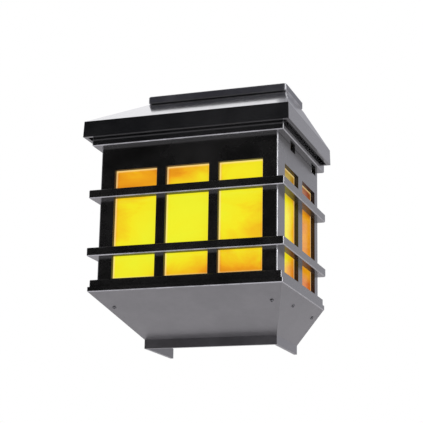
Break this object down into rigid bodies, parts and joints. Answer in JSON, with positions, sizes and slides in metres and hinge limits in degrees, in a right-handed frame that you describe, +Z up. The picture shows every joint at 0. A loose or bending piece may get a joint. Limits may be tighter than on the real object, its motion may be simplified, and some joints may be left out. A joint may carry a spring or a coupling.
{
  "type": "fence light",
  "caption": "Solar half-lantern that hangs flat on a fence or wall: black moulded body with railed amber windows, a hipped roof with a lift-out solar module, and a tapered corbel.",
  "frame": {"origin": "on the wall plane, midway between the two screws that hold the wall bracket", "axes": "+X across the lantern to its right seen from the front, +Y back into the wall, +Z up"},
  "size_m": [0.1506, 0.1143, 0.1929],
  "materials": {
    "black_plastic": "satin",
    "amber_pane": "satin",
    "black_sheet": "satin",
    "zinc_steel": "satin",
    "screw_steel": "satin",
    "gasket_rubber": "matt",
    "board_green": "satin",
    "silicon": "gloss",
    "clear_cover": "gloss",
    "battery_sleeve": "gloss",
    "contact_metal": "satin",
    "lamp_epoxy": "gloss",
    "frosted_plastic": "satin",
    "switch_white": "satin",
    "lead_red": "satin"
  },
  "bodies": {
    "wall_bracket": {"wall_bracket": "zinc_steel"},
    "lantern": {"lantern_body": "black_plastic", "front_pane": "amber_pane", "left_pane": "amber_pane", "right_pane": "amber_pane", "lower_rail": "black_plastic", "upper_rail": "black_plastic", "base_tray": "black_plastic", "bottom_corbel": "black_plastic", "corbel_screws": "screw_steel", "cornice": "black_plastic", "roof_cover": "black_plastic", "roof_screws": "screw_steel", "back_plate": "black_sheet", "back_plate_screws": "screw_steel"},
    "solar_module": {"module_frame": "black_plastic", "module_gasket": "gasket_rubber", "panel_board": "board_green", "solar_cells": "silicon", "panel_glass": "clear_cover", "module_base": "black_plastic", "module_screws": "screw_steel", "battery": "battery_sleeve", "battery_contacts": "contact_metal", "circuit_board": "board_green", "lamps": "lamp_epoxy", "light_diffuser": "frosted_plastic", "switch_body": "switch_white", "panel_leads": "lead_red"},
    "battery_cover": {"battery_cover": "black_plastic"},
    "switch_slider": {"switch_slider": "switch_white"}
  },
  "joints": [
    {"name": "lantern_unhook", "type": "slide", "parent": "wall_bracket", "child": "lantern", "axis": [0, 0, 1], "range_m": [0, 0.0075]},
    {"name": "module_lift", "type": "slide", "parent": "lantern", "child": "solar_module", "axis": [0, 0, 1], "range_m": [0, 0.065]},
    {"name": "battery_cover_slide", "type": "slide", "parent": "solar_module", "child": "battery_cover", "axis": [1, 0, 0], "range_m": [0, 0.008]},
    {"name": "switch_slide", "type": "slide", "parent": "solar_module", "child": "switch_slider", "axis": [1, 0, 0], "range_m": [0, 0.003]}
  ]
}
